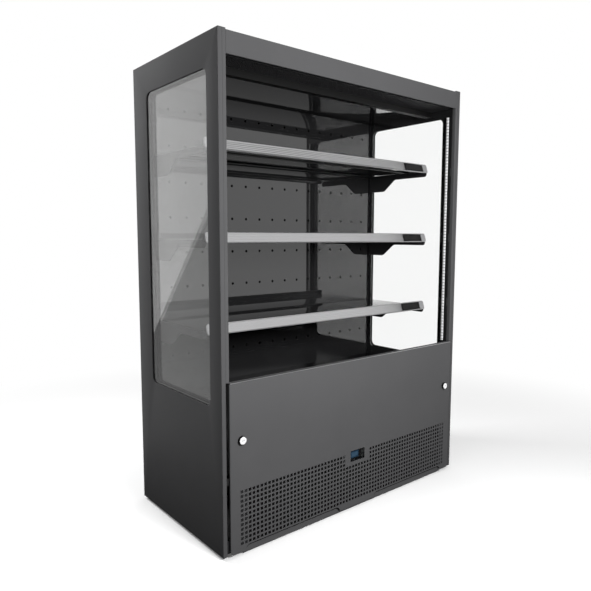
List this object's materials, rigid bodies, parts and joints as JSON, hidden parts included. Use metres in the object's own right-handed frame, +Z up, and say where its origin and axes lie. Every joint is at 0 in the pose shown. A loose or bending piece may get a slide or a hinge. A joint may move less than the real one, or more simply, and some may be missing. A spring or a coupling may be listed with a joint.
{
  "type": "open multideck display fridge",
  "caption": "Upright open-fronted display fridge with glazed sides, hook-on shelves with ticket rails, a lift-off perforated front panel and a cooling unit in the base.",
  "frame": {"origin": "centre of the footprint, on the floor", "axes": "+Z up, -Y towards the open front, +X to the right as seen by a customer"},
  "size_m": [1.466, 0.736, 2.014],
  "materials": {
    "paint": "semi-matt dark grey powder coat",
    "gloss_black": "mirror gloss black",
    "black_steel": "satin black powder coat",
    "anodised": "satin anodised, fine grooves along its length",
    "galvanised": "galvanised",
    "copper": "drawn copper tube",
    "chrome": "polished",
    "black_plastic": "fine moulded texture",
    "fan_plastic": "moulded",
    "diffuser": "frosted",
    "display": "clear window over a dark blue display",
    "glass": "clear insulating glass"
  },
  "bodies": {
    "cabinet": {"side_panel_right": "paint", "side_panel_left": "paint", "side_liner_right": "gloss_black", "side_liner_left": "gloss_black", "glazing_right": "glass", "glazing_left": "glass", "post_trim_right": "paint", "post_trim_left": "paint", "led_strip_right": "diffuser", "led_strip_left": "diffuser", "upright_right": "black_steel", "upright_left": "black_steel", "canopy_fascia": "paint", "roof_panel": "paint", "air_honeycomb": "black_plastic", "ceiling_liner": "gloss_black", "back_air_panel": "gloss_black", "rear_panel": "paint", "rear_grille": "galvanised", "deck_tray": "gloss_black", "return_air_grille": "black_steel", "front_riser": "black_steel", "evaporator_tub": "galvanised", "evaporator_coil": "galvanised", "fan_plate": "galvanised", "base_frame": "galvanised", "plinth_strip": "paint", "condenser_coil": "galvanised", "condenser_shroud": "black_steel", "compressor": "black_steel", "cooling_pipe": "copper", "evaporation_tray": "black_plastic", "electrical_box": "galvanised", "power_inlet": "black_plastic", "controller_body": "black_plastic", "controller_display": "display"},
    "shelf_1": {"shelf_plate_1": "gloss_black", "shelf_frame_1": "black_steel", "ticket_rail_1": "anodised", "rail_insert_1": "black_plastic"},
    "shelf_2": {"shelf_plate_2": "gloss_black", "shelf_frame_2": "black_steel", "ticket_rail_2": "anodised", "rail_insert_2": "black_plastic"},
    "shelf_3": {"shelf_plate_3": "gloss_black", "shelf_frame_3": "black_steel", "ticket_rail_3": "anodised", "rail_insert_3": "black_plastic"},
    "panel": {"front_panel": "paint"},
    "latch_left": {"knob_left": "chrome"},
    "latch_right": {"knob_right": "chrome"},
    "evaporator_rotor_left": {"evaporator_fan_left": "fan_plastic"},
    "evaporator_rotor_right": {"evaporator_fan_right": "fan_plastic"},
    "condenser_rotor": {"condenser_fan": "fan_plastic"},
    "key_1": {"controller_key_1": "black_plastic"},
    "key_2": {"controller_key_2": "black_plastic"},
    "levelling_foot_1": {"foot_1": "black_plastic"},
    "levelling_foot_2": {"foot_2": "black_plastic"},
    "levelling_foot_3": {"foot_3": "black_plastic"},
    "levelling_foot_4": {"foot_4": "black_plastic"}
  },
  "joints": [
    {"name": "shelf_1_tilt", "type": "hinge", "parent": "cabinet", "child": "shelf_1", "pos_m": [0, 0.241, 1.615], "axis": [-1, 0, 0], "range_deg": [0, 12]},
    {"name": "shelf_2_tilt", "type": "hinge", "parent": "cabinet", "child": "shelf_2", "pos_m": [0, 0.241, 1.245], "axis": [-1, 0, 0], "range_deg": [0, 12]},
    {"name": "shelf_3_tilt", "type": "hinge", "parent": "cabinet", "child": "shelf_3", "pos_m": [0, 0.241, 0.875], "axis": [-1, 0, 0], "range_deg": [0, 12]},
    {"name": "panel_lift_off", "type": "slide", "parent": "cabinet", "child": "panel", "axis": [0, -1, 0], "range_m": [0, 0.15]},
    {"name": "latch_left_turn", "type": "hinge", "parent": "panel", "child": "latch_left", "pos_m": [-0.649, -0.36, 0.477], "axis": [0, 1, 0], "range_deg": [0, 90]},
    {"name": "latch_right_turn", "type": "hinge", "parent": "panel", "child": "latch_right", "pos_m": [0.649, -0.36, 0.477], "axis": [0, 1, 0], "range_deg": [0, 90]},
    {"name": "evaporator_fan_left_spin", "type": "hinge", "parent": "cabinet", "child": "evaporator_rotor_left", "pos_m": [-0.33, -0.007, 0.442], "axis": [0, 1, 0], "continuous": true},
    {"name": "evaporator_fan_right_spin", "type": "hinge", "parent": "cabinet", "child": "evaporator_rotor_right", "pos_m": [0.33, -0.007, 0.442], "axis": [0, 1, 0], "continuous": true},
    {"name": "condenser_fan_spin", "type": "hinge", "parent": "cabinet", "child": "condenser_rotor", "pos_m": [-0.37, -0.239, 0.15765], "axis": [0, 1, 0], "continuous": true},
    {"name": "key_1_press", "type": "slide", "parent": "cabinet", "child": "key_1", "axis": [0, 1, 0], "range_m": [0, 0.0008], "stiffness_N_per_m": 400, "springref_m": -0.0005},
    {"name": "key_2_press", "type": "slide", "parent": "cabinet", "child": "key_2", "axis": [0, 1, 0], "range_m": [0, 0.0008], "stiffness_N_per_m": 400, "springref_m": -0.0005},
    {"name": "foot_1_turn", "type": "hinge", "parent": "cabinet", "child": "levelling_foot_1", "pos_m": [-0.64, -0.288, 0.01], "axis": [0, 0, 1], "continuous": true},
    {"name": "foot_2_turn", "type": "hinge", "parent": "cabinet", "child": "levelling_foot_2", "pos_m": [-0.64, 0.302, 0.01], "axis": [0, 0, 1], "continuous": true},
    {"name": "foot_3_turn", "type": "hinge", "parent": "cabinet", "child": "levelling_foot_3", "pos_m": [0.64, -0.288, 0.01], "axis": [0, 0, 1], "continuous": true},
    {"name": "foot_4_turn", "type": "hinge", "parent": "cabinet", "child": "levelling_foot_4", "pos_m": [0.64, 0.302, 0.01], "axis": [0, 0, 1], "continuous": true}
  ]
}
